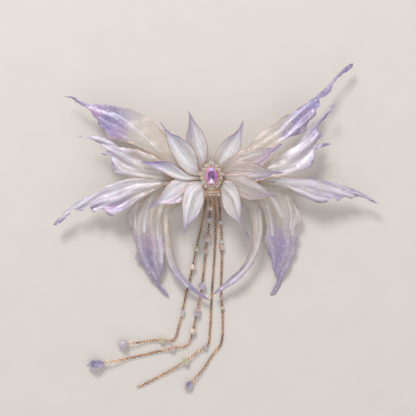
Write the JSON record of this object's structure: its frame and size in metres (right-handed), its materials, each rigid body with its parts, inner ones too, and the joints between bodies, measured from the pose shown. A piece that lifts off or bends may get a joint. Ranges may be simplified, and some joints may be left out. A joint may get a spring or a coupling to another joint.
{
  "type": "winged hair ornament",
  "caption": "Hair clip with spread translucent wing films, a flower of wired petals round an oval jewel, and hanging bead chains.",
  "frame": {"origin": "on the outer face of the closed clasp arm, under the middle of the jewel", "axes": "+Z out of the front, +Y towards the crown petals, +X towards the right wings as seen from the front"},
  "size_m": [0.1617, 0.1644, 0.0217],
  "materials": {
    "rose_gold": "polished rose gold plate",
    "wing_film": "pearlescent dipped film, lavender towards the torn edge",
    "petal_film": "pearlescent dipped film, violet at the tip",
    "clip_steel": "nickel-plated spring steel",
    "violet_glass": "faceted violet glass",
    "clear_glass": "faceted clear glass",
    "green_glass": "pale yellow-green glass",
    "rose_glass": "pale rose glass",
    "lavender_glass": "pale lavender glass",
    "pearl": "nacre lustre",
    "core_resin": "set resin"
  },
  "bodies": {
    "ornament": {"back_plate": "rose_gold", "bead_far_left_clear": "clear_glass", "bead_far_left_green": "green_glass", "bead_far_left_pearl": "pearl", "bead_far_right_crystal": "clear_glass", "bead_far_right_green": "green_glass", "bead_far_right_rose": "rose_glass", "bead_near_left_green": "green_glass", "bead_near_left_lavender": "lavender_glass", "bead_near_left_pearl": "pearl", "bead_near_left_rose": "rose_glass", "bead_near_right_green": "green_glass", "bead_near_right_lavender": "lavender_glass", "chain_far_left": "rose_gold", "chain_far_right": "rose_gold", "chain_hanger": "rose_gold", "chain_near_left": "rose_gold", "chain_near_right": "rose_gold", "clip_base": "clip_steel", "clip_bow": "clip_steel", "clip_catch": "clip_steel", "core": "core_resin", "end_rings": "rose_gold", "halo_stones": "clear_glass", "hinge_pin": "clip_steel", "jewel": "violet_glass", "jewel_setting": "rose_gold", "jump_rings": "rose_gold", "petal_left_crown": "petal_film", "petal_left_foot": "petal_film", "petal_left_lower": "petal_film", "petal_left_middle": "petal_film", "petal_left_upper": "petal_film", "petal_right_crown": "petal_film", "petal_right_foot": "petal_film", "petal_right_lower": "petal_film", "petal_right_middle": "petal_film", "petal_right_upper": "petal_film", "petal_wires_left": "rose_gold", "petal_wires_right": "rose_gold", "rivets": "rose_gold", "wing_left_lower": "wing_film", "wing_left_middle": "wing_film", "wing_left_ribbon": "wing_film", "wing_left_tail": "wing_film", "wing_left_upper": "wing_film", "wing_right_lower": "wing_film", "wing_right_middle": "wing_film", "wing_right_ribbon": "wing_film", "wing_right_tail": "wing_film", "wing_right_upper": "wing_film", "wing_wires_left": "rose_gold", "wing_wires_right": "rose_gold"},
    "clasp": {"clasp_arm": "clip_steel"},
    "pearl_end": {"pearl_drop": "pearl", "pearl_drop_pin": "rose_gold"},
    "tear_end": {"tear_drop": "violet_glass", "tear_drop_pin": "rose_gold"},
    "crystal_end": {"crystal_drop": "violet_glass", "crystal_drop_pin": "rose_gold"}
  },
  "joints": [
    {"name": "clasp_open", "type": "hinge", "parent": "ornament", "child": "clasp", "pos_m": [-0.0235, 0, 0.0013], "axis": [0, 1, 0], "range_deg": [0, 65]},
    {"name": "pearl_swing", "type": "hinge", "parent": "ornament", "child": "pearl_end", "pos_m": [-0.04089, -0.08356, 0.0024], "axis": [0, 0, 1], "range_deg": [-60, 60]},
    {"name": "tear_swing", "type": "hinge", "parent": "ornament", "child": "tear_end", "pos_m": [-0.05228, -0.09308, 0.00275], "axis": [0, 0, 1], "range_deg": [-60, 60]},
    {"name": "crystal_swing", "type": "hinge", "parent": "ornament", "child": "crystal_end", "pos_m": [-0.00909, -0.10215, 0.00175], "axis": [0, 0, 1], "range_deg": [-60, 60]}
  ]
}
